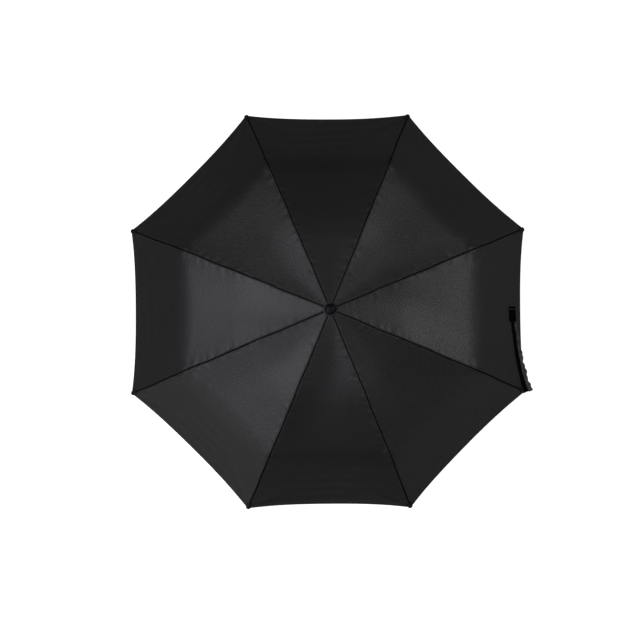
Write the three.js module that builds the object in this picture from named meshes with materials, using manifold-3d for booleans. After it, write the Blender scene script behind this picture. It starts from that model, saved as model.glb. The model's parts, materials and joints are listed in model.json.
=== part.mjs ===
// Folding umbrella, opened: eight ribs, a three-section shaft and a straight handle.
// Millimetres. The origin is the centre of the handle's bottom face, +Z runs up the shaft.
import * as THREE from "three";
import { mergeVertices } from "three/addons/utils/BufferGeometryUtils.js";
import Module from "manifold-3d";

const wasm = await Module();
wasm.setup();

// ---- driving dimensions -------------------------------------------------------------

const RIBS = 8;
const RIB_STEP = 360 / RIBS;
const FIRST_RIB = RIB_STEP / 2; // azimuth of rib 1
const HALF_GORE = THREE.MathUtils.degToRad(RIB_STEP / 2);
const FIT = 0.3; // clearance between neighbouring pieces

const CROWN_Z = 577; // height of the top ribs' pivots
const PIVOT_R = 9.5; // radius of the wire rings that the ribs and stretchers turn on

const TOP_RIB = { length: 180, droop: 10 };
const MIDDLE_RIB = { length: 165, droop: 20 };
const OUTER_RIB = { length: 182, droop: 42 };
const STRETCHER = { length: 105, at: 90 }; // "at" is its pivot's place along the top rib

const KNUCKLE_UP = 1; // the top rib's outer pivot above its centre line
const KNEE_DOWN = 3.2; // the middle rib's outer pivot below its line

const RIB = { half: 1.7, wall: 0.7, web: 0.5, height: 1.3 }; // top rib, a channel open below
const FORK = { inner: 2, outer: 2.6, web: 0.6 }; // stretcher and middle rib, wider channels
const EYE_R = 1.7;
const PIN_R = 0.6;
const PIN_HOLE = 1;
const WIRE = { r: 0.6, hole: 0.95, sides: 6, steps: 32 };
const TONGUE = 1; // half width of an eye that sits in a crown or runner slot
const WIRE_ROD = 1.2; // outer rib's radius
const PIN_SIDES = 8;

const SLOT_HALF = 1.3; // half width of the slots in crown and runner
const GROOVE_R = 8.5; // floor of the groove that holds a wire ring

const TUBES = {
  lower_tube: { r: 4.4, wall: 0.5, z0: 20, z1: 242 },
  middle_tube: { r: 5.2, wall: 0.5, z0: 212, z1: 392 },
  upper_tube: { r: 6, wall: 0.5, z0: 362, z1: 578.6 },
};
const TUBE_SIDES = 32;
const ROUND = 40;

const HANDLE = { length: 60, recess: 12.7, floor: 42, cap: 12.4, capHeight: 4 };
const CORD_SLOT = { x: 4, y0: 6.2, y1: 8.6 };
const RUNNER = { bore: 6.4, sleeve: 8.6, flange: 11.4, grip: 11, top: 2.5, under: -3.2, bottom: -36 };
const BUTTON = { r: 3, lip: 3.6, lipDepth: 0.7, inner: 8.5, outer: 12, boss: 4.2, bossOut: 10.6, z: -23 };
const CROWN = { bore: 6.3, sleeve: 7.6, flange: 12.3, top: 2.9, bottom: -14, stemHole: 3.6 };
const CAP = { r: 11.6, stem: 3.2, stemDown: 9, under: 7.2, height: 12.4 };
const TIP = { r: 1.7, hole: 1.1, ball: 2.1, back: 4, length: 8 };

const FABRIC = 0.9; // canopy thickness measured straight up
const HEM_BOW = 11; // how far the hem bows in between two ribs
const COLUMNS = 10; // cells across a canopy panel
const STRAP = {
  from: [441, -172],
  to: [403, 8],
  width: 15,
  lift: 1.2,
  thick: 1,
  steps: 12,
};

const COLOURS = {
  fabric: 0x1b1a1d,
  steel: 0xa9adb2,
  black: 0x17181a,
  dark: 0x26272a,
  button: 0x3a3b3f,
};

// ---- solids -------------------------------------------------------------------------

// A closed three.js geometry as a manifold solid.
function toSolid(geometry) {
  const bare = geometry.index ? geometry.toNonIndexed() : geometry.clone();
  bare.deleteAttribute("normal");
  bare.deleteAttribute("uv");
  const merged = mergeVertices(bare, 1e-4);
  return new wasm.Manifold(
    new wasm.Mesh({
      numProp: 3,
      vertProperties: merged.attributes.position.array,
      triVerts: new Uint32Array(merged.index.array),
    }),
  );
}

// A manifold solid as a three.js geometry.
function toGeometry(solid) {
  const mesh = solid.getMesh();
  const geometry = new THREE.BufferGeometry();
  geometry.setAttribute("position", new THREE.BufferAttribute(mesh.vertProperties.slice(), 3));
  geometry.setIndex(new THREE.BufferAttribute(mesh.triVerts.slice(), 1));
  geometry.computeVertexNormals();
  return geometry;
}

// A block between two corners.
function block([x0, y0, z0], [x1, y1, z1]) {
  return toSolid(
    new THREE.BoxGeometry(x1 - x0, y1 - y0, z1 - z0).translate(
      (x0 + x1) / 2,
      (y0 + y1) / 2,
      (z0 + z1) / 2,
    ),
  );
}

// A round bar across a rib, along Y, at (x, z).
function crossBar(x, z, r, half) {
  return toSolid(new THREE.CylinderGeometry(r, r, 2 * half, PIN_SIDES).translate(x, 0, z));
}

// A round bar along X.
function longBar(x0, x1, r, sides) {
  return toSolid(
    new THREE.CylinderGeometry(r, r, x1 - x0, sides)
      .rotateZ(Math.PI / 2)
      .translate((x0 + x1) / 2, 0, 0),
  );
}

// A flat plate with an outline in X and Z, between y0 and y1.
function plate(outline, y0, y1) {
  const shape = new THREE.Shape(outline.map(([x, z]) => new THREE.Vector2(x, z)));
  return toSolid(
    new THREE.ExtrudeGeometry(shape, { depth: y1 - y0, bevelEnabled: false })
      .rotateX(Math.PI / 2)
      .translate(0, y1, 0),
  );
}

// The same plate on both sides of a rib, between the fork's inner and outer faces.
function cheeks(outline) {
  return plate(outline, FORK.inner, FORK.outer).add(plate(outline, -FORK.outer, -FORK.inner));
}

// Two round ears at (x, z), joined by a rivet.
function rivetedEars(x, z) {
  return crossBar(x, z, EYE_R, FORK.outer)
    .subtract(crossBar(x, z, 2 * EYE_R, FORK.inner))
    .add(crossBar(x, z, PIN_R, FORK.outer - FORK.web / 2));
}

// A solid of revolution about Z from [radius, height] points that run up its outside.
function turned(profile, steps = ROUND) {
  return toSolid(
    new THREE.LatheGeometry(
      profile.map(([r, z]) => new THREE.Vector2(r, z)),
      steps,
    ).rotateX(Math.PI / 2),
  );
}

// A thin sheet: top and bottom surfaces over a grid of rows and columns, closed at the rim.
function sheet(rows, columns, top, bottom) {
  const across = columns + 1;
  const points = [];
  for (const face of [top, bottom])
    for (let i = 0; i <= rows; i++)
      for (let j = 0; j <= columns; j++) points.push(...face(i, j));
  const under = (rows + 1) * across;
  const at = (i, j) => i * across + j;
  const index = [];
  const quad = (a, b, c, d) => index.push(a, b, c, a, c, d);
  for (let i = 0; i < rows; i++)
    for (let j = 0; j < columns; j++) {
      const cell = [at(i, j), at(i + 1, j), at(i + 1, j + 1), at(i, j + 1)];
      quad(...cell);
      quad(...cell.reverse().map((n) => n + under));
    }
  const rim = (a, b) => quad(a, b, b + under, a + under);
  for (let i = 0; i < rows; i++) {
    rim(at(i + 1, 0), at(i, 0));
    rim(at(i, columns), at(i + 1, columns));
  }
  for (let j = 0; j < columns; j++) {
    rim(at(0, j), at(0, j + 1));
    rim(at(rows, j + 1), at(rows, j));
  }
  const geometry = new THREE.BufferGeometry();
  geometry.setAttribute("position", new THREE.Float32BufferAttribute(points, 3));
  geometry.setIndex(index);
  geometry.computeVertexNormals();
  return geometry;
}

function mesh(name, geometry, { colour, roughness = 0.5, metalness = 0 }) {
  const material = new THREE.MeshStandardMaterial({ color: colour, roughness, metalness });
  const made = new THREE.Mesh(geometry, material);
  made.name = name;
  return made;
}

const STEEL = { colour: COLOURS.steel, roughness: 0.35, metalness: 1 };
const PLASTIC = { colour: COLOURS.black, roughness: 0.55 };
const CLOTH = { colour: COLOURS.fabric, roughness: 0.95 };

// ---- rib linkage --------------------------------------------------------------------

// A frame in a rib's plane: origin at (radius, height), X drooping by an angle in degrees.
function ribFrame([radius, height], droop) {
  const f = THREE.MathUtils.degToRad(droop);
  const [c, s] = [Math.cos(f), Math.sin(f)];
  return { radius, height, droop, at: (x, z) => [radius + x * c + z * s, height - x * s + z * c] };
}

const topFrame = ribFrame([PIVOT_R, CROWN_Z], TOP_RIB.droop);
const middleFrame = ribFrame(topFrame.at(TOP_RIB.length, KNUCKLE_UP), MIDDLE_RIB.droop);
const outerFrame = ribFrame(middleFrame.at(MIDDLE_RIB.length, -KNEE_DOWN), OUTER_RIB.droop);

const strutPivot = topFrame.at(STRETCHER.at, 0);
const strutReach = strutPivot[0] - PIVOT_R;
const strutDrop = Math.sqrt(STRETCHER.length ** 2 - strutReach ** 2);
const RUNNER_Z = strutPivot[1] - strutDrop;
const strutDroop = 180 - THREE.MathUtils.radToDeg(Math.asin(strutDrop / STRETCHER.length));
const strutFrame = ribFrame(strutPivot, strutDroop);

// Top rib: an eye on the crown's wire, a channel open below, and the outer knuckle.
function topRib() {
  const { half, wall, web, height } = RIB;
  const start = 6;
  const end = TOP_RIB.length;
  const channel = block([start, -half, -height], [end, half, height]).subtract(
    block([start + 4, wall - half, -2 * height], [end - 4, half - wall, height - web]),
  );
  return channel
    .add(block([0, -TONGUE, -1.2], [start + 1, TONGUE, 1.2]))
    .add(crossBar(0, 0, EYE_R, TONGUE))
    .add(crossBar(end, KNUCKLE_UP, EYE_R, half))
    .subtract(crossBar(0, 0, WIRE.hole, FORK.outer))
    .subtract(crossBar(STRETCHER.at, 0, PIN_HOLE, FORK.outer))
    .subtract(crossBar(end, KNUCKLE_UP, PIN_HOLE, FORK.outer));
}

// Stretcher: it forks round the top rib, and its foot is an eye on the runner's wire.
function stretcher() {
  const end = STRETCHER.length;
  const back = -2.2; // the side that turns to the shaft when folded
  const strap = back + FORK.web;
  const wallEnd = 80;
  const tongue = TOP_RIB.length - STRETCHER.at + 2.4; // clears the knuckle when folded
  return rivetedEars(0, 0)
    .add(cheeks([[0, -1.4], [4, back], [wallEnd, back], [wallEnd - 3, 1.2], [0, 1.2]]))
    .add(block([8, -FORK.outer, back], [wallEnd, FORK.outer, strap]))
    .add(block([wallEnd - 1, -FORK.inner, back], [tongue + 2, FORK.inner, strap]))
    .add(block([tongue, -TONGUE, back], [end, TONGUE, 1]))
    .add(crossBar(end, 0, EYE_R, TONGUE))
    .subtract(crossBar(end, 0, WIRE.hole, FORK.outer));
}

// Middle rib: forks at both ends, with the outer rib folding up inside its channel.
function middleRib() {
  const end = MIDDLE_RIB.length;
  const [top, bottom] = [-1, -3.6];
  const web = top - FORK.web;
  return rivetedEars(0, 0)
    .add(rivetedEars(end, -KNEE_DOWN))
    .add(cheeks([[-1.2, -1.2], [5, bottom], [end, bottom], [end, top - 0.5], [end - 4, top],
      [9, top], [1.2, 1.2]]))
    .add(block([4.2, -FORK.outer, web], [end - 5, FORK.outer, top]));
}

// Outer rib: a spring-steel wire with a flattened eye and a spigot for its tip.
function outerRib() {
  const end = OUTER_RIB.length;
  return longBar(1, end, WIRE_ROD, PIN_SIDES)
    .add(crossBar(0, 0, EYE_R, WIRE_ROD))
    .add(longBar(end - 1, end + TIP.back, TIP.hole - FIT, PIN_SIDES))
    .subtract(crossBar(0, 0, PIN_HOLE, FORK.outer));
}

// Rib tip: a moulded cap over the spigot, ending in a small ball.
function ribTip() {
  const neck = TIP.length - 0.6 * TIP.ball;
  const ball = (share) => {
    const a = (share * Math.PI) / 2;
    return [TIP.ball * Math.cos(a), TIP.length + TIP.ball * Math.sin(a)];
  };
  return turned(
    [[0, TIP.back + FIT], [TIP.hole, TIP.back + FIT], [TIP.hole, 0], [TIP.r, 0], [TIP.r, neck],
      ball(0), ball(0.5), [0, TIP.length + TIP.ball]],
    12,
  );
}

// ---- shaft, crown, runner and handle --------------------------------------------------

function tube({ r, wall, z0, z1 }) {
  return turned([[r - wall, z0], [r, z0], [r, z1], [r - wall, z1], [r - wall, z0]], TUBE_SIDES);
}

// One slot per rib, cut from a block in the rib's own frame.
function slotted(solid, from, to) {
  let cut = solid;
  for (let k = 0; k < RIBS; k++) {
    const slot = block([from[0], -SLOT_HALF, from[1]], [to[0], SLOT_HALF, to[1]]);
    cut = cut.subtract(slot.rotate([0, 0, FIRST_RIB + k * RIB_STEP]));
  }
  return cut;
}

// Crown, from its pivots' height: eight slots open outward and down, with a wire groove.
function crown() {
  const { bore, sleeve, flange, top, bottom, stemHole } = CROWN;
  const seat = TUBES.upper_tube.z1 - CROWN_Z + FIT;
  const g = WIRE.hole;
  const body = turned([
    [bore, bottom], [sleeve, bottom], [sleeve, -3.2], [flange - 0.6, -3.2], [flange, -2.6],
    [flange, -g], [GROOVE_R, -g], [GROOVE_R, g], [flange, g], [flange, 2.1],
    [flange - 0.8, top], [stemHole, top], [stemHole, seat], [bore, seat], [bore, bottom],
  ]);
  return slotted(body, [7.4, -4], [flange + 1, 2.1]);
}

// Runner, from its pivots' height: slots open outward and up, a boss for the button.
function runner() {
  const { bore, sleeve, flange, grip, top, under, bottom } = RUNNER;
  const g = WIRE.hole;
  const body = turned([
    [bore, bottom], [grip - 0.6, bottom], [grip, bottom + 0.6], [grip, bottom + 4],
    [sleeve, bottom + 6.5], [sleeve, under - 1.5], [flange - 1, under], [flange, under + 0.6],
    [flange, -g], [GROOVE_R, -g], [GROOVE_R, g], [flange, g], [flange, top - 0.5],
    [flange - 0.5, top], [bore, top], [bore, bottom],
  ]);
  const across = (r, y0, y1) =>
    toSolid(new THREE.CylinderGeometry(r, r, y1 - y0, 20).translate(0, -(y0 + y1) / 2, BUTTON.z));
  const bore1 = toSolid(
    new THREE.CylinderGeometry(bore, bore, 60, ROUND).rotateX(Math.PI / 2),
  );
  const shelf = BUTTON.inner + BUTTON.lipDepth + FIT;
  return slotted(body.add(across(BUTTON.boss, bore, BUTTON.bossOut)), [7, -2.1], [flange + 1, 5])
    .subtract(bore1)
    .subtract(across(BUTTON.r + FIT, 0, BUTTON.bossOut + 1))
    .subtract(across(BUTTON.lip + FIT, 0, shelf));
}

// Push button: a round cap with an inner lip, along -Y from the shaft.
function button() {
  const { r, lip, lipDepth, inner, outer } = BUTTON;
  return turned(
    [[0, inner], [lip, inner], [lip, inner + lipDepth], [r, inner + lipDepth],
      [r, outer - 0.7], [r - 0.7, outer], [0, outer]],
    20,
  ).rotate([90, 0, 0]);
}

function wireRing() {
  return new THREE.TorusGeometry(PIVOT_R, WIRE.r, WIRE.sides, WIRE.steps);
}

// Cap: a low dome over the canopy's centre, with a stem down into the shaft.
function finialCap() {
  const { r, stem, stemDown, under, height } = CAP;
  const dome = [0.25, 0.5, 0.75].map((s) => {
    const a = (s * Math.PI) / 2;
    return [r * Math.cos(a), under + 3 + (height - 3) * Math.sin(a)];
  });
  return turned([
    [0, -stemDown], [stem, -stemDown], [stem, under], [r - 0.8, under], [r, under + 0.8],
    [r, under + 3], ...dome, [0, under + height],
  ]);
}

// Handle grip: a waisted barrel with a bore for the shaft and a recess for the runner.
function handleGrip() {
  const { length, recess, floor, cap, capHeight } = HANDLE;
  const bore = TUBES.lower_tube.r + FIT;
  const outside = [
    [14.2, 0], [15, 0.8], [15.6, 6], [15.8, 16], [15.3, 28], [15.6, 40], [16.4, 50],
    [16.8, 56], [16.6, 59.2], [15.8, length],
  ];
  const inside = [
    [recess + 0.6, length], [recess, length - 0.6], [recess, floor], [bore, floor],
    [bore, TUBES.lower_tube.z0 - FIT], [0, TUBES.lower_tube.z0 - FIT],
  ];
  const pocket = [[0, capHeight + FIT], [cap + FIT, capHeight + FIT], [cap + FIT, 0]];
  return turned([...pocket, ...outside, ...inside]);
}

// End cap: a disc in the grip's bottom, with the slot a wrist cord is threaded through.
function handleEndCap() {
  const { cap, capHeight } = HANDLE;
  const disc = turned([[0, 0], [cap - 0.5, 0], [cap, 0.5], [cap, capHeight], [0, capHeight]]);
  return disc.subtract(
    block([-CORD_SLOT.x, CORD_SLOT.y0, -1], [CORD_SLOT.x, CORD_SLOT.y1, capHeight + 1]),
  );
}

// ---- canopy ---------------------------------------------------------------------------

// The canopy's underside over a rib as [radius, height, hem share, sag].
const COVER = [
  [4.2, CROWN_Z + 5.3, 0, 0],
  [13, CROWN_Z + 4.3, 0, 0],
  [...middlePoint(topFrame.at(0, 4.2), topFrame.at(TOP_RIB.length, 4.2)), 0, 2],
  [...topFrame.at(TOP_RIB.length, 4.2), 0, 4],
  [...middleFrame.at(MIDDLE_RIB.length / 2, 3.2), 0, 5],
  [...middleFrame.at(MIDDLE_RIB.length, 1.6), 0, 6],
  [...outerFrame.at(OUTER_RIB.length / 2, 3.6), 0.35, 5],
  [...outerFrame.at(OUTER_RIB.length + TIP.back, 2.1), 1, 3],
];

function middlePoint([r0, z0], [r1, z1]) {
  return [(r0 + r1) / 2, (z0 + z1) / 2];
}

// A point of the canopy's underside in a gore's frame (X along its middle); v runs -1 to 1.
function coverPoint([radius, height, hem, sag], v) {
  const x = radius * Math.cos(HALF_GORE) - HEM_BOW * hem * (1 - v ** 4);
  const half = radius * Math.sin(HALF_GORE) - FIT / Math.cos(HALF_GORE);
  return [x, v * half, height - sag * (1 - v * v)];
}

function coverAt(radius) {
  const i = Math.max(1, COVER.findIndex(([r]) => r >= radius));
  const [a, b] = [COVER[i - 1], COVER[i]];
  const t = (radius - a[0]) / (b[0] - a[0]);
  return a.map((value, n) => value + t * (b[n] - value));
}

// The canopy's underside height at a place (x, y) of a gore.
function coverHeight(x, y) {
  let radius = x / Math.cos(HALF_GORE);
  const last = COVER[COVER.length - 1][0];
  for (let n = 0; n < 12; n++) {
    const row = coverAt(Math.min(radius, last));
    const v = THREE.MathUtils.clamp(y / (row[0] * Math.sin(HALF_GORE)), -1, 1);
    radius = Math.min((x + HEM_BOW * row[2] * (1 - v ** 4)) / Math.cos(HALF_GORE), last);
  }
  const row = coverAt(radius);
  const v = y / (row[0] * Math.sin(HALF_GORE));
  return row[1] - row[3] * (1 - v * v);
}

function canopyPanel() {
  const at = (i, j, up) => {
    const [x, y, z] = coverPoint(COVER[i], (2 * j) / COLUMNS - 1);
    return [x, y, z + up];
  };
  return sheet(COVER.length - 1, COLUMNS, (i, j) => at(i, j, FABRIC), (i, j) => at(i, j, 0));
}

// Closure strap: a band lying on its panel along the hem, in that panel's frame.
function closureStrap() {
  const { from, to, width, lift, thick, steps } = STRAP;
  const along = new THREE.Vector2(to[0] - from[0], to[1] - from[1]);
  const side = new THREE.Vector2(along.y, -along.x).normalize();
  const at = (i, j, up) => {
    const t = i / steps;
    const off = (j / 2 - 0.5) * width;
    const x = from[0] + along.x * t + side.x * off;
    const y = from[1] + along.y * t + side.y * off;
    return [x, y, coverHeight(x, y) + FABRIC + lift + up];
  };
  return sheet(steps, 2, (i, j) => at(i, 2 - j, thick), (i, j) => at(i, 2 - j, 0));
}

// ---- assembly -------------------------------------------------------------------------

const group = new THREE.Group();
group.name = "folding_umbrella";

function place(object, parent, x = 0, y = 0, z = 0) {
  object.position.set(x, y, z);
  parent.add(object);
  return object;
}

// Pieces on a common axis.
for (const [name, size] of Object.entries(TUBES))
  group.add(mesh(name, toGeometry(tube(size)), STEEL));
const grip = { ...PLASTIC, roughness: 0.7 };
group.add(mesh("handle_grip", toGeometry(handleGrip()), grip));
group.add(mesh("handle_end_cap", toGeometry(handleEndCap()), PLASTIC));
place(mesh("crown", toGeometry(crown()), PLASTIC), group, 0, 0, CROWN_Z);
place(mesh("crown_wire", wireRing(), STEEL), group, 0, 0, CROWN_Z);
place(mesh("finial_cap", toGeometry(finialCap()), PLASTIC), group, 0, 0, CROWN_Z);
place(mesh("runner_body", toGeometry(runner()), PLASTIC), group, 0, 0, RUNNER_Z);
place(mesh("runner_wire", wireRing(), STEEL), group, 0, 0, RUNNER_Z);
const buttonLook = { colour: COLOURS.button, roughness: 0.45 };
place(mesh("runner_button", toGeometry(button()), buttonLook), group, 0, 0, RUNNER_Z + BUTTON.z);

// Ribs: each lies in the plane of its own azimuth.
const shapes = {
  top_rib: [topRib(), topFrame, STEEL],
  stretcher: [stretcher(), strutFrame, STEEL],
  middle_rib: [middleRib(), middleFrame, STEEL],
  outer_rib: [outerRib(), outerFrame, { ...STEEL, colour: COLOURS.dark, metalness: 0.6 }],
};
for (let k = 0; k < RIBS; k++) {
  const plane = new THREE.Group();
  plane.rotation.z = THREE.MathUtils.degToRad(FIRST_RIB + k * RIB_STEP);
  group.add(plane);
  for (const [name, [solid, frame, look]] of Object.entries(shapes)) {
    const piece = mesh(name + "_" + (k + 1), toGeometry(solid), look);
    piece.rotation.y = THREE.MathUtils.degToRad(frame.droop);
    place(piece, plane, frame.radius, 0, frame.height);
  }
  const tip = mesh("rib_tip_" + (k + 1), toGeometry(ribTip()), PLASTIC);
  tip.rotation.y = THREE.MathUtils.degToRad(outerFrame.droop + 90);
  const [radius, height] = outerFrame.at(OUTER_RIB.length + FIT, 0);
  place(tip, plane, radius, 0, height);
}

// Canopy: one panel per gap, panel 1 between ribs 8 and 1, the strap on panel 1.
for (let k = 0; k < RIBS; k++) {
  const panel = mesh("canopy_panel_" + (k + 1), canopyPanel(), CLOTH);
  panel.rotation.z = THREE.MathUtils.degToRad(k * RIB_STEP);
  group.add(panel);
}
group.add(mesh("closure_strap", closureStrap(), CLOTH));

export default group;
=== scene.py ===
"""Folding umbrella: the looks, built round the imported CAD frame. Metres, +Z up the shaft."""

import json
import math

import bpy
import numpy as np
from mathutils import Matrix, Vector


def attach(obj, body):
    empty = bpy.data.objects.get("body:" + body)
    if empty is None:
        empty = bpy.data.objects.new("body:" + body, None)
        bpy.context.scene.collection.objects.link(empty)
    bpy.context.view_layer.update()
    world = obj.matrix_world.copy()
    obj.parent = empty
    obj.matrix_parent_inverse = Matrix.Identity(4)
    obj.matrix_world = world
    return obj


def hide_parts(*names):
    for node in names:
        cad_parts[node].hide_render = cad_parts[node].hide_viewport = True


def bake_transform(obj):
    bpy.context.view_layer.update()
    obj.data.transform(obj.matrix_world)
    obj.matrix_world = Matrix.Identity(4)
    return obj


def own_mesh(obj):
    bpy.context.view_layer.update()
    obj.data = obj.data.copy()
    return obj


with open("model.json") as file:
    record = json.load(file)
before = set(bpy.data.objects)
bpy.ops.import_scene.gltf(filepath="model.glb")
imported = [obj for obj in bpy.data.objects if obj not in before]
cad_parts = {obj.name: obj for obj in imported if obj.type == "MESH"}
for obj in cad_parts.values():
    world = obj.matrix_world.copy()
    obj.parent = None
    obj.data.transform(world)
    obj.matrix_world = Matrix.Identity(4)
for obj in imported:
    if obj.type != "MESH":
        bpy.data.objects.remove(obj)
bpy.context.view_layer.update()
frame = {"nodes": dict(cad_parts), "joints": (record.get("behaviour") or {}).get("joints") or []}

RIBS = 8
STEP = 2 * math.pi / RIBS  # angle from one rib to the next
COS, SIN = math.cos(STEP / 2), math.sin(STEP / 2)
MM = 0.001

# ---- camera, lights, world ------------------------------------------------------------------

CAMERA_PLACE = (-0.0461, -0.0430, 2.7391)
CAMERA_TARGET = (-0.0311, -0.0076, 0.357)
CAMERA_UP = (0.0053, 1, 0)
LIGHT_TARGET = (0, 0, 0.45)  # the middle of the canopy
# name, place, width and height, watts, colour
SOFTBOXES = (
    ("light_left", (-1.38, -0.34, 2.20), (1.2, 1.9), 27, (0.95, 0.915, 1.0)),
    ("light_right", (1.75, 0.42, 1.88), (0.9, 1.1), 17, (1.0, 1.0, 0.985)),
    ("light_back", (-1.25, 0.80, 1.95), (0.8, 0.8), 3.2, (1.0, 1.0, 0.98)),
    ("light_crown", (-0.85, -0.62, 2.35), (0.5, 0.5), 2.8, (0.98, 0.95, 1.0)),
    ("light_under", (0.25, -0.30, -1.00), (3.2, 3.2), 30, (1.0, 1.0, 1.0)),
    ("light_front", (-1.9, -2.1, 0.95), (2.0, 1.2), 9, (1.0, 0.98, 0.99)),
    ("light_low", (2.0, -1.9, 0.80), (2.4, 1.2), 3.5, (1.0, 1.0, 1.0)),
)
WORLD_SEEN = (1.0, 1.0, 1.0, 1)
WORLD_LIGHT = (0.95, 0.97, 1.0, 1)
WORLD_STRENGTH = 0.06

scene = bpy.context.scene
scene.view_settings.view_transform = "Standard"


def aim(obj, target, up=(0, 1, 0)):
    """Turns a camera or a light so that it looks at the target."""
    back = (obj.location - Vector(target)).normalized()
    right = Vector(up).cross(back).normalized()
    turn = Matrix((right, back.cross(right), back)).transposed()
    obj.rotation_euler = turn.to_euler()


def place_camera():
    camera = bpy.data.objects.new("camera", bpy.data.cameras.new("camera"))
    scene.collection.objects.link(camera)
    camera.location = CAMERA_PLACE
    aim(camera, CAMERA_TARGET, CAMERA_UP)
    camera.data.lens = 60
    camera.data.sensor_width = 36
    camera.data.clip_end = 50
    scene.camera = camera


def softbox(name, place, size, power, colour):
    light = bpy.data.lights.new(name, "AREA")
    light.shape = "RECTANGLE"
    light.size, light.size_y = size
    light.energy = power
    light.color = colour
    obj = bpy.data.objects.new(name, light)
    obj.location = place
    scene.collection.objects.link(obj)
    aim(obj, LIGHT_TARGET)
    obj.visible_camera = False


def node_tree(block):
    block.use_nodes = True
    block.node_tree.nodes.clear()
    return block.node_tree


def paint_world():
    """White where the camera sees past everything, and a dim cool light elsewhere."""
    world = bpy.data.worlds.new("studio")
    scene.world = world
    tree = node_tree(world)
    out = tree.nodes.new("ShaderNodeOutputWorld")
    seen, lit = (tree.nodes.new("ShaderNodeBackground") for _ in range(2))
    seen.inputs["Color"].default_value = WORLD_SEEN
    lit.inputs["Color"].default_value = WORLD_LIGHT
    lit.inputs["Strength"].default_value = WORLD_STRENGTH
    mix = tree.nodes.new("ShaderNodeMixShader")
    path = tree.nodes.new("ShaderNodeLightPath")
    tree.links.new(path.outputs["Is Camera Ray"], mix.inputs[0])
    tree.links.new(lit.outputs[0], mix.inputs[1])
    tree.links.new(seen.outputs[0], mix.inputs[2])
    tree.links.new(mix.outputs[0], out.inputs[0])


place_camera()
for box in SOFTBOXES:
    softbox(*box)
paint_world()

# ---- materials ------------------------------------------------------------------------------


class Paint:
    """A small builder for node materials."""

    def __init__(self, name):
        self.material = bpy.data.materials.new(name)
        self.tree = node_tree(self.material)
        self.out = self.tree.nodes.new("ShaderNodeOutputMaterial")
        self.shader = self.tree.nodes.new("ShaderNodeBsdfPrincipled")
        self.link(self.shader.outputs[0], self.out.inputs[0])

    def link(self, a, b):
        self.tree.links.new(a, b)

    def set(self, **values):
        for key, value in values.items():
            self.shader.inputs[key.replace("_", " ")].default_value = value

    def use(self, socket, value):
        self.link(value, self.shader.inputs[socket])

    def node(self, kind, **settings):
        made = self.tree.nodes.new("ShaderNode" + kind)
        for key, value in settings.items():
            setattr(made, key, value)
        return made

    def coords(self, scale=(1, 1, 1), source="Object"):
        at = self.node("TexCoord")
        mapping = self.node("Mapping")
        mapping.inputs["Scale"].default_value = scale
        self.link(at.outputs[source], mapping.inputs["Vector"])
        return mapping.outputs[0]

    def noise(self, vector, scale, detail=3, rough=0.5):
        made = self.node("TexNoise")
        made.inputs["Scale"].default_value = scale
        made.inputs["Detail"].default_value = detail
        made.inputs["Roughness"].default_value = rough
        self.link(vector, made.inputs["Vector"])
        return made.outputs["Fac"]

    def ramp(self, value, low, dark, high, light):
        """A colour that goes from dark at value low to light at value high."""
        made = self.node("ValToRGB")
        for element, place, colour in zip(made.color_ramp.elements, (low, high), (dark, light)):
            element.position = place
            element.color = (*colour, 1)
        self.link(value, made.inputs[0])
        return made.outputs[0]

    def math(self, kind, a, b=0.0, clamp=False):
        made = self.node("Math", operation=kind, use_clamp=clamp)
        for value, socket in zip((a, b), made.inputs):
            if isinstance(value, (int, float)):
                socket.default_value = value
            else:
                self.link(value, socket)
        return made.outputs[0]

    def tint(self, factor, under, colour):
        """The colour laid over what is under it, by the factor."""
        made = self.node("Mix", data_type="RGBA")
        self.link(factor, made.inputs[0])
        self.link(under, made.inputs[6])
        made.inputs[7].default_value = (*colour, 1)
        return made.outputs[2]

    def span(self, value, low, high, out_low, out_high):
        made = self.node("MapRange")
        for socket, number in zip(made.inputs[1:5], (low, high, out_low, out_high)):
            socket.default_value = number
        self.link(value, made.inputs[0])
        return made.outputs[0]

    def attribute(self, name):
        return self.node("Attribute", attribute_name=name).outputs["Fac"]

    def bump(self, height, strength, distance, under=None):
        made = self.node("Bump")
        made.inputs["Strength"].default_value = strength
        made.inputs["Distance"].default_value = distance
        self.link(height, made.inputs["Height"])
        if under is not None:
            self.link(under, made.inputs["Normal"])
        return made.outputs[0]


# Stitching, all in millimetres: rows from the hem and from the seam, then the stitches in a row
HEM_ROW, EDGE_ROW, SEAM_ROW = 7.6, 1.4, 3.6
STITCH_PITCH, STITCH_GAP, STITCH_HALF = 3.2, 0.7, 0.28
THREAD_TONE = (0.010, 0.010, 0.011)
WORN_TONE = (0.035, 0.034, 0.036)
# colour of the painted shadow laid on the cloth beside the seams
SEAM_SHADOW_TONE = (0.0012, 0.0012, 0.0014)


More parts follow.
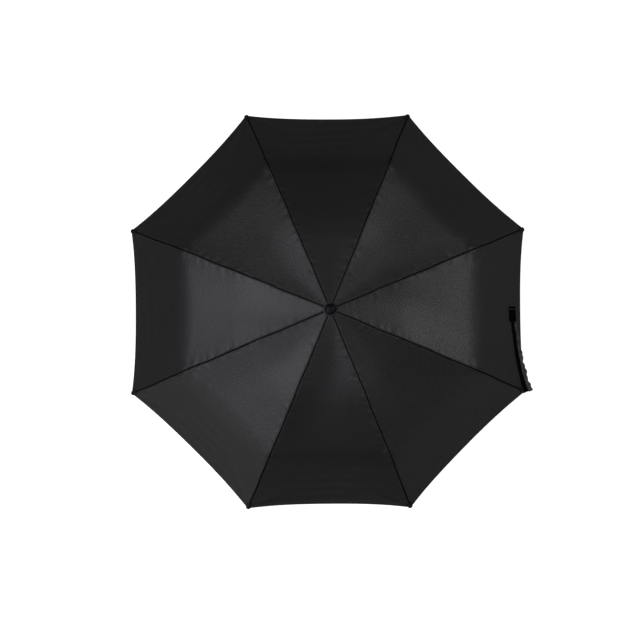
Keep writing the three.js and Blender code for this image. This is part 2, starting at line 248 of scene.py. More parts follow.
def sew(p, colour, shine, weave, grain):
    """Adds stitch rows in their grooves, a worn hem, painted shadow on the cloth beside the seams and
    duller cloth along them.
    """
    hem, seam, along = (p.attribute(a) for a in ("hem_mm", "seam_mm", "along_mm"))
    thread = p.math("GREATER_THAN", p.math("PINGPONG", along, STITCH_PITCH / 2), STITCH_GAP / 2)
    lines, groove = None, None
    for distance, row, groove_half in ((hem, HEM_ROW, 1.6), (hem, EDGE_ROW, None), (seam, SEAM_ROW, 1.2)):
        near = p.math("ABSOLUTE", p.math("SUBTRACT", distance, row))
        line = p.math("MULTIPLY", p.math("LESS_THAN", near, STITCH_HALF), thread)
        lines = line if lines is None else p.math("MAXIMUM", lines, line)
        if groove_half:
            one = p.span(near, 0.0, groove_half, 0.0, 1.0)
            groove = one if groove is None else p.math("MULTIPLY", groove, one)
    crease = p.math("ADD", groove, p.math("MULTIPLY", lines, 0.5))
    weave = p.bump(crease, 0.55, 0.4 * MM, weave)
    colour = p.tint(lines, colour, THREAD_TONE)
    worn = p.math("MULTIPLY", p.span(hem, 0.0, 1.2, 0.10, 0.0), grain)
    colour = p.tint(worn, colour, WORN_TONE)
    # painted shadow: the cloth beside each seam is darkened where the seam's fold shades it
    shade = p.math("ADD", p.span(seam, 1.2, 2.6, 0.50, 0.0), p.span(seam, 1.6, 6.0, 0.25, 0.0))
    colour = p.tint(shade, colour, SEAM_SHADOW_TONE)
    shine = p.math("ADD", shine, p.span(seam, 1.2, 3.6, 0.30, 0.0), True)
    return colour, shine, weave


THREADS, THREAD_RUN = 1100, 90  # weave cells per metre across a thread and along it
SLUBS = 300  # grain cells per metre


def pongee(name, dark, light, rough=0.50, gloss=0.5, sewn=False, patch=7, patchy=0.4):
    """Black plain-woven cloth: weave, slubs and slow tone changes; duller at grazing angles.

    patch is the scale of the slow changes and patchy their share of the tone.
    """
    p = Paint(name)
    p.set(Specular_IOR_Level=gloss, Sheen_Weight=0.03 if gloss > 0.3 else 0.0, Sheen_Roughness=0.5)
    place = p.coords()
    slow = p.noise(place, patch, 2)
    grain = p.noise(place, SLUBS, 2, 0.65)
    warp = p.noise(p.coords((THREADS, THREAD_RUN, THREAD_RUN), "UV"), 1.0, 1)
    weft = p.noise(p.coords((THREAD_RUN, THREADS, THREADS), "UV"), 1.0, 1)
    threads = p.math("ADD", warp, weft)
    tone = p.math("ADD", p.math("MULTIPLY", slow, patchy), p.math("MULTIPLY", grain, 1 - patchy))
    colour = p.ramp(tone, 0.35, dark, 0.65, light)
    fine = p.math("ADD", grain, p.math("MULTIPLY", threads, 0.5))
    shine = p.span(fine, 0.7, 1.3, rough + 0.03, rough - 0.03)
    facing = p.node("LayerWeight").outputs["Facing"]
    shine = p.math("ADD", shine, p.math("MULTIPLY", p.math("POWER", facing, 3.0), 0.55), True)
    weave = p.bump(threads, 0.30, 0.25 * MM)
    weave = p.bump(grain, 0.65, 0.9 * MM, weave)
    if sewn:
        colour, shine, weave = sew(p, colour, shine, weave, grain)
    p.use("Base Color", colour)
    p.use("Roughness", shine)
    p.use("Normal", weave)
    return p.material


def metal(name, dark, light, rough, brushed, scratch=0.06):
    """Plated metal; brushed gives the scale of its fine marks along each axis."""
    p = Paint(name)
    p.set(Metallic=1.0)
    fine = p.noise(p.coords(brushed), 1.0, 4, 0.6)
    slow = p.noise(p.coords(), 35, 3)
    p.use("Base Color", p.ramp(p.math("MULTIPLY", fine, slow), 0.15, dark, 0.4, light))
    p.use("Roughness", p.span(p.math("ADD", fine, slow), 0.6, 1.4, rough - 0.08, rough + 0.12))
    p.use("Normal", p.bump(fine, scratch, 0.2 * MM))
    return p.material


def plastic(name, dark, light, rough, grain=1800, relief=0.12, gloss=0.5):
    """Moulded plastic with a fine surface grain."""
    p = Paint(name)
    p.set(Specular_IOR_Level=gloss)
    slow = p.noise(p.coords(), 45, 4)
    p.use("Base Color", p.ramp(slow, 0.35, dark, 0.7, light))
    p.use("Roughness", p.span(slow, 0.3, 0.7, rough - 0.06, rough + 0.08))
    p.use("Normal", p.bump(p.noise(p.coords(), grain, 2), relief, 0.1 * MM))
    return p.material


CLOTH = pongee("pongee_black", (0.0034, 0.0033, 0.0035), (0.0086, 0.0083, 0.0088), sewn=True)
CLOTH_PLAIN = pongee(
    "pongee_rosette", (0.0040, 0.0040, 0.0044), (0.0070, 0.0068, 0.0075), rough=0.55, gloss=0.4)
# seam strips: a real seam, but its near-black colour and slow dark patches are painted shadow from the
# seam's fold
SEAM_AND_SHADOW = pongee(
    "seam_tape_and_painted_shadow", (0.0007, 0.0007, 0.0008), (0.0052, 0.0051, 0.0055), rough=0.82, gloss=0.06,
    patch=24, patchy=0.8)
POCKET = pongee(
    "tip_pocket_cloth", (0.0020, 0.0020, 0.0021), (0.0056, 0.0055, 0.0058), rough=0.62, gloss=0.28)
STRAP = pongee(
    "strap_webbing", (0.0006, 0.0006, 0.0007), (0.0016, 0.0016, 0.0018), rough=0.82, gloss=0.04)
TONGUE = pongee(
    "strap_tongue", (0.0003, 0.0003, 0.0004), (0.0009, 0.0009, 0.0010), rough=0.85, gloss=0.03)
# lighter, blotchy tone: painted light and shade for the crumples of the strap's edge and of the piece
# under its tongue
LINING_PAINTED_LIGHT = pongee(
    "strap_lining_painted_light", (0.0030, 0.0030, 0.0026), (0.0600, 0.0610, 0.0490), rough=0.6, gloss=0.4,
    patch=75, patchy=0.8)
TUBE = metal("plated_tube", (0.46, 0.47, 0.49), (0.66, 0.67, 0.69), 0.34, (60, 60, 300), 0.02)
STRIP = metal("rib_strip", (0.34, 0.35, 0.37), (0.60, 0.61, 0.63), 0.38, (300, 300, 300), 0.1)
WIRE = metal("spring_wire", (0.020, 0.020, 0.022), (0.060, 0.060, 0.065), 0.42, (400, 400, 400))
BLACK = plastic("moulded_black", (0.010, 0.010, 0.011), (0.017, 0.017, 0.019), 0.42)
CAP = plastic(
    "moulded_cap", (0.0020, 0.0020, 0.0030), (0.0040, 0.0040, 0.0056), 0.50, 2200, 0.1, gloss=0.16)
GRIP = plastic("soft_touch", (0.011, 0.011, 0.012), (0.019, 0.019, 0.021), 0.66, 2600, 0.25)
BUTTON = plastic("button_grey", (0.035, 0.036, 0.040), (0.060, 0.061, 0.066), 0.40)
THREAD = plastic("sewing_thread", (0.008, 0.008, 0.009), (0.020, 0.020, 0.022), 0.8, 3000, 0.3)

# Looks of the CAD nodes, by the name before a rib's number
LOOKS = {
    "middle_rib": STRIP, "top_rib": STRIP, "stretcher": STRIP, "outer_rib": WIRE, "rib_tip": BLACK,
    "lower_tube": TUBE, "middle_tube": TUBE, "upper_tube": TUBE, "crown_wire": STRIP,
    "runner_wire": STRIP, "crown": BLACK, "finial_cap": CAP, "handle_grip": GRIP,
    "handle_end_cap": BLACK, "runner_body": BLACK, "runner_button": BUTTON,
}
for node_name, node in frame["nodes"].items():
    look = LOOKS.get(node_name) or LOOKS.get(node_name.rsplit("_", 1)[0])
    if look:
        node.data.materials.clear()
        node.data.materials.append(look)

# ---- rib line -------------------------------------------------------------------------------

PIVOTS = {j["name"]: j["pos_m"] for j in frame["joints"] if "pos_m" in j}


def in_rib_plane(joint):
    """A pivot's radius and height."""
    x, y, z = PIVOTS[joint]
    return np.array([math.hypot(x, y), z])


def offset(point, droop, along, up):
    """The point moved along and off a member that droops by the angle, in the rib's plane."""
    c, s = math.cos(droop), math.sin(droop)
    return np.array([point[0] + along * c + up * s, point[1] - along * s + up * c])


def turned(points, azimuth):
    c, s = math.cos(azimuth), math.sin(azimuth)
    x, y, z = points[..., 0], points[..., 1], points[..., 2]
    return np.stack([x * c - y * s, x * s + y * c, z], -1)


def unit(vectors):
    return vectors / np.linalg.norm(vectors, axis=-1, keepdims=True)


CROWN_PIVOT = in_rib_plane("top_rib_1_pivot")
KNUCKLE = in_rib_plane("middle_rib_1_pivot")
KNEE = in_rib_plane("outer_rib_1_pivot")
TOP_DROOP, MIDDLE_DROOP, OUTER_DROOP = (math.radians(a) for a in (10, 20, 42))
TIP_REACH = 0.187  # from the knee to the cloth's corner

# The cloth's top side over a rib: cap, crown edge, knuckle, knee, tip
LINE = np.array([
    [0.0036, CROWN_PIVOT[1] + 0.0062],
    [0.0130, CROWN_PIVOT[1] + 0.0052],
    offset(KNUCKLE, TOP_DROOP, 0, 0.0046),
    offset(KNEE, MIDDLE_DROOP, 0, 0.0056),
    offset(KNEE, OUTER_DROOP, TIP_REACH, 0.0029),
])
R_CAP, R_EDGE, R_KNUCKLE, R_KNEE, R_TIP = LINE[:, 0]
R_FAN = 0.022  # where the crown's fan of cloth ends
R_BEND = (0.0085, 0.017)  # the stretch of that fan that bends as its rib folds

# Heights along the line at fine steps, carried on straight past both ends, and their running sum
FINE = np.linspace(-0.05, 0.6, 13001)
SLOPES = np.diff(LINE[:, 1]) / np.diff(LINE[:, 0])
HEIGHTS = np.interp(FINE, LINE[:, 0], LINE[:, 1])
HEIGHTS = np.where(FINE < R_CAP, LINE[0, 1] + SLOPES[0] * (FINE - R_CAP), HEIGHTS)
HEIGHTS = np.where(FINE > R_TIP, LINE[-1, 1] + SLOPES[-1] * (FINE - R_TIP), HEIGHTS)
SUMS = np.concatenate([[0], np.cumsum((HEIGHTS[1:] + HEIGHTS[:-1]) / 2 * np.diff(FINE))])

# Half the stretch over which the line's corners are rounded, by radius
ROUNDING = ([0.0, 0.013, 0.03, 0.06, 0.12], [0.002, 0.003, 0.012, 0.018, 0.034])
R_OUTER = 0.25  # past it, at the knee, the rounding depends on the distance from the ribs
KNEE_ROUNDING, KNEE_SOFTENING = 0.009, 0.022


def line_height(r, v):
    """Height of the cloth at rib radius r, its corners rounded, more so away from the ribs."""
    soft = np.interp(r, *ROUNDING)
    soft = np.where(r > R_OUTER, KNEE_ROUNDING + KNEE_SOFTENING * (1 - v * v), soft)
    return (np.interp(r + soft, FINE, SUMS) - np.interp(r - soft, FINE, SUMS)) / (2 * soft)


# ---- canopy surface -------------------------------------------------------------------------

HEM_BOW = 0.0085  # how far the hem bows in between two corners
SAG = ([0, R_EDGE, R_KNUCKLE, R_KNEE, R_TIP], [0, 0, 0.0062, 0.0066, 0.004])  # at a gore's middle
# Waves in the cloth along a rib: height and radians per metre
STRAY = ((0.45 * MM, 38), (0.30 * MM, 83))
SEAM_WAVES = ((0.16 * MM, 410), (0.112 * MM, 233))
TUCKS = ((0.80 * MM, 330), (0.64 * MM, 187), (0.40 * MM, 71))
VALLEY, CORNER_PULL, KNEE_DENT = 0.5 * MM, 1.1 * MM, 1.2 * MM
SLOW_DRAPE, FINE_DRAPE = 0.7 * MM, 0.32 * MM
# How quickly a rib's marks on the cloth die away beside it
STRAY_REACH, WAVE_REACH, TUCK_REACH, VALLEY_REACH = 0.030, 0.011, 0.008, 0.007
PULL_RING = (0.050, 0.045)  # distance from the corner and width of its pull lines
DENT_RING = (0.022, 0.016)  # and of the dent round the knee
PULL_RAYS = 9

rng = np.random.RandomState(11)
RIPPLE = rng.rand(RIBS, 6) * 2 * math.pi  # wave phases of each rib
DRAW = rng.rand(RIBS, 8) * 2 * math.pi  # wave phases of each gore


def fade(value, start, length):
    """0 up to the start, rising to 1 over the length."""
    return np.clip((value - start) / length, 0, 1)


def bell(value, centre, width):
    return np.exp(-(((value - centre) / width) ** 2))


def waves(r, parts, phases):
    return sum(height * np.sin(r * rate + phase) for (height, rate), phase in zip(parts, phases))


def seam_stray(rib, r):
    """How far the seam strays sideways from the rib under it."""
    return waves(r, STRAY, RIPPLE[rib, 2:]) * fade(r, 0.03, 0.06) * fade(R_TIP - r, 0.008, 0.03)


def seam_wave(rib, r):
    """Height of the small waves that sewing leaves in the cloth over a rib."""
    return waves(r, SEAM_WAVES, RIPPLE[rib]) * fade(r, 0, 0.1)


def beside_rib(gore, rib, side, r, far):
    """Height that a rib gives the cloth at the distance far from it: waves, tucks, pull lines."""
    wave = seam_wave(rib, r) * np.exp(-far / WAVE_REACH)
    hug = fade(far, 0, 0.005) ** 2 * np.exp(-far / TUCK_REACH)
    phases = DRAW[gore, [5, 6, 7] if side < 0 else [6, 7, 5]]
    tuck = waves(r, TUCKS, phases) * hug * fade(r, 0.03, 0.06)
    valley = VALLEY * fade(far, 0, 0.006) * np.exp(-far / VALLEY_REACH) * fade(r, 0.02, 0.05)
    from_tip = np.hypot(far, r - R_TIP)
    turn = np.arctan2(far, R_TIP - r + 1e-9)
    rays = np.sin(turn * PULL_RAYS + DRAW[gore, 0 if side < 0 else 1]) * np.sin(turn) ** 2
    pull = CORNER_PULL * rays * bell(from_tip, *PULL_RING) * fade(from_tip, 0, 0.03)
    from_knee = np.hypot(far, (r - R_KNEE) * 1.4)
    dent = KNEE_DENT * bell(from_knee, *DENT_RING) * fade(far, 0, 0.012)
    return wave + tuck - valley + pull - dent


def drape(gore, r, v):
    """Height of the waves in the free cloth: slow ones all over, fine ones towards the hem."""
    phase = DRAW[gore]
    free = (1 - v * v) ** 1.5
    slow = np.sin(r * 31 + phase[2]) * np.sin(v * 2.2 + phase[3]) + np.sin(r * 17 + v * 3.1 + phase[4])
    fine = np.sin(r * 250 + 1.5 * np.sin(v * 2.7 + phase[5]) + phase[1])
    return free * (SLOW_DRAPE * slow * fade(r, 0, 0.2) + FINE_DRAPE * fine * fade(r, R_KNEE + 0.01, 0.05))


def surface(gore, r, v):
    """Points of the cloth's top side, in the gore's own frame (X along its middle).

    r is the rib radius and v goes from -1 at one rib to 1 at the next.
    """
    x = r * COS - HEM_BOW * fade(r, R_KNEE, R_TIP - R_KNEE) ** 1.6 * (1 - np.abs(v) ** 2.6)
    y = v * r * SIN
    z = line_height(r, v) - np.interp(r, *SAG) * (1 - v * v)
    for rib, side in (((gore - 1) % RIBS, -1), (gore, 1)):
        far = np.abs(v - side) * r * SIN
        stray = seam_stray(rib, r) * np.exp(-far / STRAY_REACH)
        x, y = x - side * SIN * stray, y + COS * stray
        z = z + beside_rib(gore, rib, side, r, far)
    return np.stack([x, y, z + drape(gore, r, v)], -1)


def surface_and_normal(gore, r, v):
    dr, dv = 1e-4, 1e-3
    inward = np.where(v > 0.99, -1.0, 1.0)
    p = surface(gore, r, v)
    along = surface(gore, r + dr, v) - surface(gore, r - dr, v)
    across = (surface(gore, r, v + dv * inward) - p) * inward[..., None]
    return p, unit(np.cross(along, across))


# ---- mesh building --------------------------------------------------------------------------


def grid_normals(top):
    return unit(np.cross(np.gradient(top, axis=0), np.gradient(top, axis=1)))


def new_mesh(name, points, faces, material, uv=None, facts=None, normals=None, smooth=True):
    """An object from points and faces; facts are named numbers stored at its points."""
    mesh = bpy.data.meshes.new(name)
    mesh.from_pydata([tuple(p) for p in points], [], faces)
    mesh.materials.append(material)
    if smooth:
        mesh.polygons.foreach_set("use_smooth", [True] * len(mesh.polygons))
    if uv is not None:
        layer = mesh.uv_layers.new(name="cloth")
        loops = np.zeros(len(mesh.loops), np.int32)
        mesh.loops.foreach_get("vertex_index", loops)
        layer.data.foreach_set("uv", uv[loops].astype(np.float32).ravel())
    for key, values in (facts or {}).items():
        made = mesh.attributes.new(key, "FLOAT", "POINT")
        made.data.foreach_set("value", values.astype(np.float32))
    mesh.update()
    if normals is not None:
        mesh.normals_split_custom_set_from_vertices([tuple(n) for n in normals])
    obj = bpy.data.objects.new(name, mesh)
    scene.collection.objects.link(obj)
    return obj


def shell(name, top, normal, thick, material, uv, facts=None):
    """A closed thin cloth from a grid of top points, their normals and a thickness (grid)."""
    rows, columns = top.shape[:2]
    under = top - normal * np.broadcast_to(thick, (rows, columns))[..., None]
    count = rows * columns
    at = np.arange(count).reshape(rows, columns)
    quads = np.stack([at[:-1, :-1], at[1:, :-1], at[1:, 1:], at[:-1, 1:]], -1).reshape(-1, 4)
    middle = quads[len(quads) // 2]
    sample = top.reshape(-1, 3)[middle]
    way = np.cross(sample[1] - sample[0], sample[2] - sample[0])
    if way @ normal.reshape(-1, 3)[middle[0]] < 0:
        quads = quads[:, ::-1]
    ring = np.concatenate([at[0, :], at[1:, -1], at[-1, -2::-1], at[-2:0:-1, 0]])
    faces = [tuple(q) for q in quads] + [tuple(q[::-1] + count) for q in quads]
    directed = {(q[i], q[(i + 1) % 4]) for q in quads for i in range(4)}
    for a, b in zip(ring, np.roll(ring, -1)):
        a, b = (a, b) if (a, b) in directed else (b, a)
        faces.append((b, a, a + count, b + count))

    def twice(grid):
        return np.concatenate([grid.reshape(count, -1)] * 2)

    points = np.concatenate([top.reshape(-1, 3), under.reshape(-1, 3)])
    normals = np.concatenate([normal.reshape(-1, 3), -normal.reshape(-1, 3)])
    stored = {key: twice(grid)[:, 0] for key, grid in (facts or {}).items()}
    return new_mesh(name, points, faces, material, twice(uv), stored, normals)


def path_length(points):
    return float(np.linalg.norm(np.diff(points, axis=0), axis=-1).sum())


# ---- canopy cloth ---------------------------------------------------------------------------

CLOTH_THICK = 0.35 * MM
HEM_FOLD = 0.4 * MM  # added thickness of the doubled hem
HEM_SLANT = 1.28  # length of cloth per length of radius near the hem
HEM_ZONE = 0.012  # nearer the hem than this, stitches run along it
FOLD_LINE = 0.0034  # how far beside its rib a piece gathers when folded
COLUMNS, CROWDING = 21, 1.25  # points across half a gore, and how they crowd towards its rib
KNEE_BOW = 0.032  # how far past the knee the pieces meet at the gore's middle
KNEE_SPAN = 0.085  # and over how much radius that fades out
MIN_FLAT = 0.01  # the least length that declare works out for a piece


def cloth_grid(gore, radii, spread):
    """Points, normals, weave coordinates and stitching distances of a patch of the surface."""
    r, v = np.meshgrid(radii, spread, indexing="ij")
    r = r + KNEE_BOW * (1 - v * v) * np.clip(1 - np.abs(r - R_KNEE) / KNEE_SPAN, 0, 1)
    p, n = surface_and_normal(gore, r, v)
    p, n = turned(p, gore * STEP), turned(n, gore * STEP)
    run = np.cumsum(np.linalg.norm(np.diff(p[:, :1], axis=0), axis=-1), axis=0)
    run = np.concatenate([np.zeros((1, 1)), run]) + radii[0]
    uv = np.stack([np.broadcast_to(run, r.shape), v * r * SIN], -1)
    hem = (R_TIP - r) * HEM_SLANT
    seam = (1 - np.abs(v)) * r * SIN
    along = np.where(hem < HEM_ZONE, v * r * SIN, run)
    facts = {"hem_mm": hem / MM, "seam_mm": seam / MM, "along_mm": along / MM}
    return p, n, uv, facts


def hem_rows():
    """Radii of the close rows that shape the hem's fold and its stitches."""
    return R_TIP - np.array([9.8, 9.2, 8.6, 6.5, 4.5, 2.6, 1.2, 0.4, 0.0]) * MM / HEM_SLANT


# zone: the rib member under it, the radii of its rows, the share of its width kept when folded
ZONES = {
    "top": ("top_rib", np.linspace(R_FAN, R_KNUCKLE, 22), 0.05),
    "middle": ("middle_rib", np.linspace(R_KNUCKLE, R_KNEE, 26), 0.03),
    "outer": (
        "outer_rib", np.concatenate([np.linspace(R_KNEE, R_TIP - 0.013, 30), hem_rows()]), 0.035),
}


def declare(top):
    """Works out the flat length of a canopy piece's grid along its rib, at least MIN_FLAT; nothing uses
    it.
    """
    length = path_length(top[:, 0])
    length = max(length, MIN_FLAT)


def gore_beside(rib, side):
    """The gore on one side of a rib; a gore's middle is at its number times STEP."""
    return (rib + (1 if side > 0 else 0)) % RIBS


def half_gore(rib, side, zone):
    """The cloth between a rib and the middle of the gore beside it, over one rib member."""
    member, radii, keep = ZONES[zone]
    spread = -side * (1 - np.linspace(0, 1, COLUMNS) ** CROWDING)
    p, n, uv, facts = cloth_grid(gore_beside(rib, side), radii, spread)
    thick = CLOTH_THICK
    if zone == "outer":
        thick = thick + HEM_FOLD * (1 - fade(facts["hem_mm"], 8.5, 0.5))
    name = f"cloth_{zone}_{rib + 1}_{'left' if side > 0 else 'right'}"
    obj = shell(name, p, n, thick, CLOTH, uv, facts)
    over, middle = p[:, 0], p[:, -1]
    rib_way = unit(over[-1] - over[0])
    outward = middle[-1] - over[-1]
    axis = unit(outward - (outward @ rib_way) * rib_way)
    anchor = (over[0] + over[-1]) / 2 + axis * FOLD_LINE
    body = f"{member}_{rib + 1}"
    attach(obj, body)
    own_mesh(obj)
    declare(p)
    return obj, (axis, anchor, keep)


def crown_fan(rib):
    """The wedge of cloth from the cap to just past the crown."""
    radii = np.linspace(R_CAP, R_FAN, 12)
    right, left = (
        cloth_grid(gore_beside(rib, side), radii, -side * (1 - np.linspace(0, 1, 7)))
        for side in (-1, 1)
    )

    def join(a, b):
        return np.concatenate([a[:, ::-1], b[:, 1:]], 1)

    p, n, uv = (join(a, b) for a, b in zip(right[:3], left[:3]))
    facts = {key: join(right[3][key], left[3][key]) for key in right[3]}
    obj = shell(f"cloth_crown_{rib + 1}", p, n, CLOTH_THICK, CLOTH, uv, facts)
    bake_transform(obj)
    declare(p)
    return obj


folds = {}
pieces_of_gore = {g: [] for g in range(RIBS)}
for rib in range(RIBS):
    pieces_of_gore[rib].append(crown_fan(rib))
    for side in (-1, 1):
        for zone in ZONES:
            piece, folds[rib, side, zone] = half_gore(rib, side, zone)
            pieces_of_gore[gore_beside(rib, side)].append(piece)
for gore, made in pieces_of_gore.items():
    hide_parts(f"canopy_panel_{gore + 1}")

# ---- seams and knee patches -----------------------------------------------------------------

# A seam's cross-section: place across and height, as shares of its half width and its lift
SEAM_ACROSS = np.array([-1, -0.72, -0.25, 0.25, 0.72, 1])
SEAM_ARCH = np.array([0.0, 0.8, 1.0, 1.0, 0.8, 0.0])
SEAM_THICK = 0.4 * MM
GORE_LEAN = 0.41  # how much of a member's droop the cloth beside it falls away sideways
# How far the knee's own seam, its patch and the bend in both reach on each side of the knee
KNEE_SEAM, KNEE_PATCH, KNEE_BEND = 0.009, 0.016, 0.006


def seam_strip(name, rib, r0, r1, half, lift, steps, look=SEAM_AND_SHADOW, sink=0.0):
    """A narrow strip of cloth over a rib, arched by the lift and sunk under the canopy's top."""
    r = np.linspace(r0, r1, steps)[:, None] + 0 * SEAM_ACROSS
    across = SEAM_ACROSS * half + 0 * r
    droop = np.where(r < R_KNUCKLE, 12, np.where(r < R_KNEE, 20, 42))
    z = line_height(r, 1.0) + seam_wave(rib, r)
    z = z - np.abs(across) * GORE_LEAN * np.tan(np.radians(droop)) + SEAM_ARCH * lift - sink
    top = turned(np.stack([r, seam_stray(rib, r) + across, z], -1), (rib + 0.5) * STEP)
    obj = shell(name, top, grid_normals(top), SEAM_THICK, look, np.stack([r, across], -1))
    return obj


def knee_strip(name, rib, reach, half, lift, steps, look=SEAM_AND_SHADOW, sink=0.0):
    """A strip of cloth over the knee."""
    n = rib + 1
    obj = seam_strip(f"{name}_{n}", rib, R_KNEE - reach, R_KNEE + reach, half, lift, steps, look, sink)
    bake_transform(obj)
    return obj


def rib_seams(rib):
    """The felled seam over a rib, in five pieces, and the patch under the cloth at its knee."""
    n = rib + 1
    crown = seam_strip(f"seam_crown_{n}", rib, R_BEND[0], R_FAN, 0.9 * MM, 0.4 * MM, 10)
    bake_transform(crown)
    for zone, r0, r1, half, lift in (
        ("top", R_FAN, R_KNUCKLE, 1.0 * MM, 0.5 * MM),
        ("middle", R_KNUCKLE, R_KNEE - KNEE_SEAM, 1.2 * MM, 0.6 * MM),
        ("outer", R_KNEE + KNEE_SEAM, R_TIP, 1.6 * MM, 0.6 * MM),
    ):
        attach(seam_strip(f"seam_{zone}_{n}", rib, r0, r1, half, lift, 60), f"{zone}_rib_{n}")
    knee_strip("seam_knee", rib, KNEE_SEAM, 1.5 * MM, 0.7 * MM, 22)
    patch = knee_strip("knee_patch", rib, KNEE_PATCH, 6.5 * MM, 0.0, 26, CLOTH_PLAIN, 0.8 * MM)


for rib in range(RIBS):
    rib_seams(rib)

# ---- thread ties ----------------------------------------------------------------------------

# member, its inner pivot, droop, place along it, half width, and how far the loop goes below
# and above the member's line
TIES = (
    ("top_rib", CROWN_PIVOT, TOP_DROOP, 0.112, 0.0021, -0.0019, 0.0048),
    ("middle_rib", KNUCKLE, MIDDLE_DROOP, 0.085, 0.0030, -0.0019, 0.0030),
    ("outer_rib", KNEE, OUTER_DROOP, 0.060, 0.0017, -0.0017, 0.0040),
    ("outer_rib", KNEE, OUTER_DROOP, 0.125, 0.0017, -0.0017, 0.0033),
)
THREAD_R = 0.32 * MM
TIE_LOOPS, TIE_TURNS, TIE_SIDES = 3, 24, 8


def rib_tie(name, rib, member, start, droop, along, half, low, high):
    """Three loops of thread round a rib member, through the seam above it."""
    middle, tall = (low + high) / 2, (high - low) / 2
    points, faces = [], []
    for loop in range(TIE_LOOPS):
        step = along + (loop - 1) * 2.1 * THREAD_R
        first = loop * TIE_TURNS * TIE_SIDES
        for i in range(TIE_TURNS):
            t = 2 * math.pi * i / TIE_TURNS
            a, b = first + i * TIE_SIDES, first + (i + 1) % TIE_TURNS * TIE_SIDES
            for k in range(TIE_SIDES):
                s = 2 * math.pi * k / TIE_SIDES
                out = THREAD_R * math.cos(s)
                up = middle + (tall + out) * math.sin(t)
                r, z = offset(start, droop, step + THREAD_R * math.sin(s), up)
                points.append([r, (half + out) * math.cos(t), z])
                after = (k + 1) % TIE_SIDES
                faces.append((a + k, a + after, b + after, b + k))
    points = turned(np.array(points), (rib + 0.5) * STEP)
    obj = new_mesh(name, points, faces, THREAD)
    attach(obj, f"{member}_{rib + 1}")


for rib in range(RIBS):
    for letter, tie in zip("abcd", TIES):
        rib_tie(f"rib_tie_{rib + 1}_{letter}", rib, *tie)

# ---- tip pockets ----------------------------------------------------------------------------

POCKET_BACK, POCKET_PAST = 0.0125, 0.0012  # how far it reaches back from the corner and past it
POCKET_HALF, POCKET_TAPER = 0.0064, 0.0016
POCKET_THICK = 1.6 * MM
POCKET_LIFT = 0.7 * MM
POCKET_SLOPE = 0.37
NOSE_DROP, NOSE_ROUND = 1.2 * MM, 0.9 * MM
RIDGE_HALF, RIDGE_RISE, RIDGE_DEPTH = 1.9 * MM, 0.9 * MM, 2.6 * MM  # over the rib tip inside


def tip_pocket(rib):
    """The folded pocket of cloth that each rib tip is pushed into: it makes the corner blunt."""
    radii = np.linspace(R_TIP - POCKET_BACK, R_TIP + POCKET_PAST, 9)
    r, a = np.meshgrid(radii, np.linspace(-1, 1, 13), indexing="ij")
    share = (r - radii[0]) / (radii[-1] - radii[0])
    across = a * (POCKET_HALF - POCKET_TAPER * share)
    ridge = bell(across, 0, RIDGE_HALF)
    z = line_height(r, 1.0) - np.abs(across) * POCKET_SLOPE + POCKET_LIFT + RIDGE_RISE * ridge
    z = z - NOSE_DROP * fade(share, 0.85, 0.15) ** 2
    top = turned(np.stack([r - NOSE_ROUND * a**2 * share, across, z], -1), (rib + 0.5) * STEP)
    thick = (POCKET_THICK + RIDGE_DEPTH * ridge) * np.clip(share * 4, 0.35, 1)
    uv = np.stack([r, across], -1)
    obj = shell(f"tip_pocket_{rib + 1}", top, grid_normals(top), thick, POCKET, uv)
    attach(obj, f"outer_rib_{rib + 1}")


for rib in range(RIBS):
    tip_pocket(rib)

# ---- rosette under the cap ------------------------------------------------------------------

ROSETTE_R = 0.015
ROSETTE_THICK, ROSETTE_LIFT = 0.4 * MM, 0.5 * MM
SCALLOPS, SCALLOP_DEPTH, SCALLOP_RISE = 16, 0.03, 0.12 * MM


def rosette():
    """A scalloped disc of cloth with a hole, laid on the crown under the cap."""
    radii = np.array([R_CAP, 0.0070, 0.0105, 0.0130, 0.0144, ROSETTE_R])
    r, t = np.meshgrid(radii, np.linspace(0, 2 * math.pi, 97)[:-1], indexing="ij")
    ruffle = np.sin(t * SCALLOPS)
    spread = r * (1 + SCALLOP_DEPTH * ruffle * (r / ROSETTE_R) ** 3)
    z = line_height(r, 1.0) + ROSETTE_LIFT + SCALLOP_RISE * ruffle * (r / ROSETTE_R)
    top = np.stack([spread * np.cos(t), spread * np.sin(t), z], -1).reshape(-1, 3)
    points = np.concatenate([top, top - np.array([0, 0, ROSETTE_THICK])])
    count = len(top)
    at = np.arange(count).reshape(r.shape)
    after = np.roll(at, -1, axis=1)
    quads = np.stack([at[:-1], at[1:], after[1:], after[:-1]], -1).reshape(-1, 4)
    hole = np.stack([at[0], after[0], after[0] + count, at[0] + count], -1)
    rim = np.stack([after[-1], at[-1], at[-1] + count, after[-1] + count], -1)
    faces = np.concatenate([quads, quads[:, ::-1] + count, hole, rim])
    obj = new_mesh("rosette", points, [tuple(f) for f in faces], CLOTH_PLAIN, points[:, :2])
    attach(obj, "upper_shaft")


rosette()

# ---- closure strap --------------------------------------------------------------------------

# The strap's middle line, from its sewn end at rib 8's corner to the tab
STRAP_KNOTS = np.array([
    [450.6, -186.6], [444.6, -172.6], [435.0, -138.0], [424.6, -90.0], [415.5, -30.0],
    [413.4, -18.0], [413.2, 7.6],
]) * MM
STRAP_STEPS = 116
STRAP_SMOOTHING = 30  # rounds of smoothing that take the corners off the middle line
STRAP_THICK = 0.9 * MM
STRAP_ROLL = 0.6 * MM  # how far its long edges roll down
BAND_WIDTHS = (1.22, 0.80)  # shares of the band's width at its sewn end and its free end
EDGE_NARROWING = 0.016
# Height and radians per metre: ripples of every piece, then ripples and fraying of the edge
STRAP_RIPPLES = ((0.3 * MM, 95), (0.2 * MM, 230))
EDGE_RIPPLES = ((0.9 * MM, 290), (0.8 * MM, 130))
EDGE_FRAY = ((1.3 * MM, 160), (0.9 * MM, 410))
R_LEAST = 0.02  # keeps the search for a place on the canopy off its axis
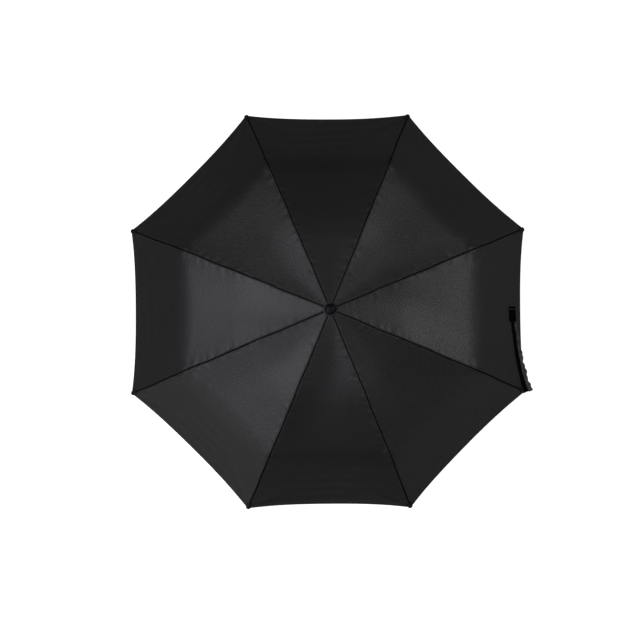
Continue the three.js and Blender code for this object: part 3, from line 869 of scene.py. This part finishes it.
# name, look, first and last step, left and right edge, lift off the canopy
STRAP_PIECES = (
    ("strap_band", STRAP, 1, 98, -0.0062, 0.0052, 0.0016),
    # the edge and the piece under the tongue carry painted light and shade of crumpled webbing
    ("strap_edge", LINING_PAINTED_LIGHT, 0, 93, 0.0032, 0.0124, 0.0024),
    ("strap_lining_painted_light", LINING_PAINTED_LIGHT, 97, 116, -0.0070, 0.0070, 0.0012),
    ("strap_tongue", TONGUE, 96, 112, -0.0088, 0.0092, 0.0022),
    ("strap_tab", TONGUE, 113, 116, -0.0088, 0.0088, 0.0024),
)


def height_at(gore, x, y):
    """The cloth's top height at places of a gore (arrays), found by stepping the rib radius."""
    r = x / COS
    for _ in range(12):
        r = np.clip(r, R_LEAST, R_TIP)
        r = r + (x - surface(gore, r, np.clip(y / (r * SIN), -1, 1))[..., 0]) / COS
    r = np.clip(r, R_LEAST, R_TIP)
    return surface(gore, r, np.clip(y / (r * SIN), -1, 1))[..., 2]


def strap_line():
    """Distances along the strap, its rounded middle line and the direction across it."""
    run = np.concatenate([[0], np.cumsum(np.linalg.norm(np.diff(STRAP_KNOTS, axis=0), axis=-1))])
    t = np.linspace(0, run[-1], STRAP_STEPS + 1)
    mid = np.stack([np.interp(t, run, STRAP_KNOTS[:, i]) for i in (0, 1)], -1)
    for _ in range(STRAP_SMOOTHING):
        mid[1:-1] = (mid[:-2] + 2 * mid[1:-1] + mid[2:]) / 4
    way = unit(np.gradient(mid, axis=0))
    return t, mid, np.stack([way[:, 1], -way[:, 0]], -1)


def strap_piece(line, name, look, first, last, left, right, lift):
    """One piece of the strap, following the canopy under it; it folds with the cloth it lies on."""
    t, mid, side = line
    u, a = np.meshgrid(t[first:last + 1], np.linspace(0, 1, 9), indexing="ij")
    share = (u - u[0]) / (u[-1] - u[0])
    across = left + (right - left) * a
    ripple = waves(u, STRAP_RIPPLES, (0, a * 3))
    if name == "strap_edge":  # frayed and wavy along its free side
        across = across + waves(u, EDGE_FRAY, (0, 1)) * a - EDGE_NARROWING * a * fade(share, 0.75, 1)
        ripple = waves(u, EDGE_RIPPLES, (a * 2, a * 5)) * a
    if name == "strap_band":
        across = across * (BAND_WIDTHS[0] + (BAND_WIDTHS[1] - BAND_WIDTHS[0]) * share)
    place = mid[first:last + 1, None] + side[first:last + 1, None] * across[..., None]
    z = height_at(0, place[..., 0], place[..., 1]) + lift + ripple
    z = z - STRAP_ROLL * np.abs(2 * a - 1) ** 6
    top = np.concatenate([place, z[..., None]], -1)
    normal = grid_normals(top)
    normal *= np.sign(normal[..., 2:3])
    obj = shell(name, top, normal, STRAP_THICK, look, np.stack([u, across], -1))
    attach(obj, f"outer_rib_{RIBS}")
    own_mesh(obj)
    if name == "strap_band":
        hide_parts("closure_strap")


line = strap_line()
for piece in STRAP_PIECES:
    strap_piece(line, *piece)

# ---- floor ----------------------------------------------------------------------------------


def pale_floor():
    """A glowing floor, clear from below."""
    p = Paint("pale_floor")
    p.set(Roughness=0.9, Specular_IOR_Level=0.1, Emission_Strength=0.86, Emission_Color=(1, 1, 1, 1))
    p.use("Base Color", p.ramp(p.noise(p.coords(), 2.0, 2), 0.3, (0.70,) * 3, 0.7, (0.73,) * 3))
    mix = p.node("MixShader")
    p.link(p.node("NewGeometry").outputs["Backfacing"], mix.inputs[0])
    p.link(p.shader.outputs[0], mix.inputs[1])
    p.link(p.node("BsdfTransparent").outputs[0], mix.inputs[2])
    p.link(mix.outputs[0], p.out.inputs[0])
    return p.material


def dim_floor():
    p = Paint("floor_bounce")
    p.set(Roughness=0.9, Emission_Strength=0.05, Emission_Color=(1, 1, 1, 1))
    p.set(Base_Color=(0.2, 0.2, 0.2, 1))
    return p.material


def lay_floor(name, material, half, z, unseen_by):
    points = [(-half, -half, z), (half, -half, z), (half, half, z), (-half, half, z)]
    obj = new_mesh(name, points, [(0, 1, 2, 3)], material, smooth=False)
    for ray in unseen_by:
        setattr(obj, f"visible_{ray}", False)


# The camera sees the pale floor, and the umbrella is lit by the dim one.
lay_floor("floor", pale_floor(), 30.0, -0.001, ("diffuse", "glossy", "shadow"))
lay_floor("floor_bounce", dim_floor(), 6.0, -0.004, ("camera", "shadow"))
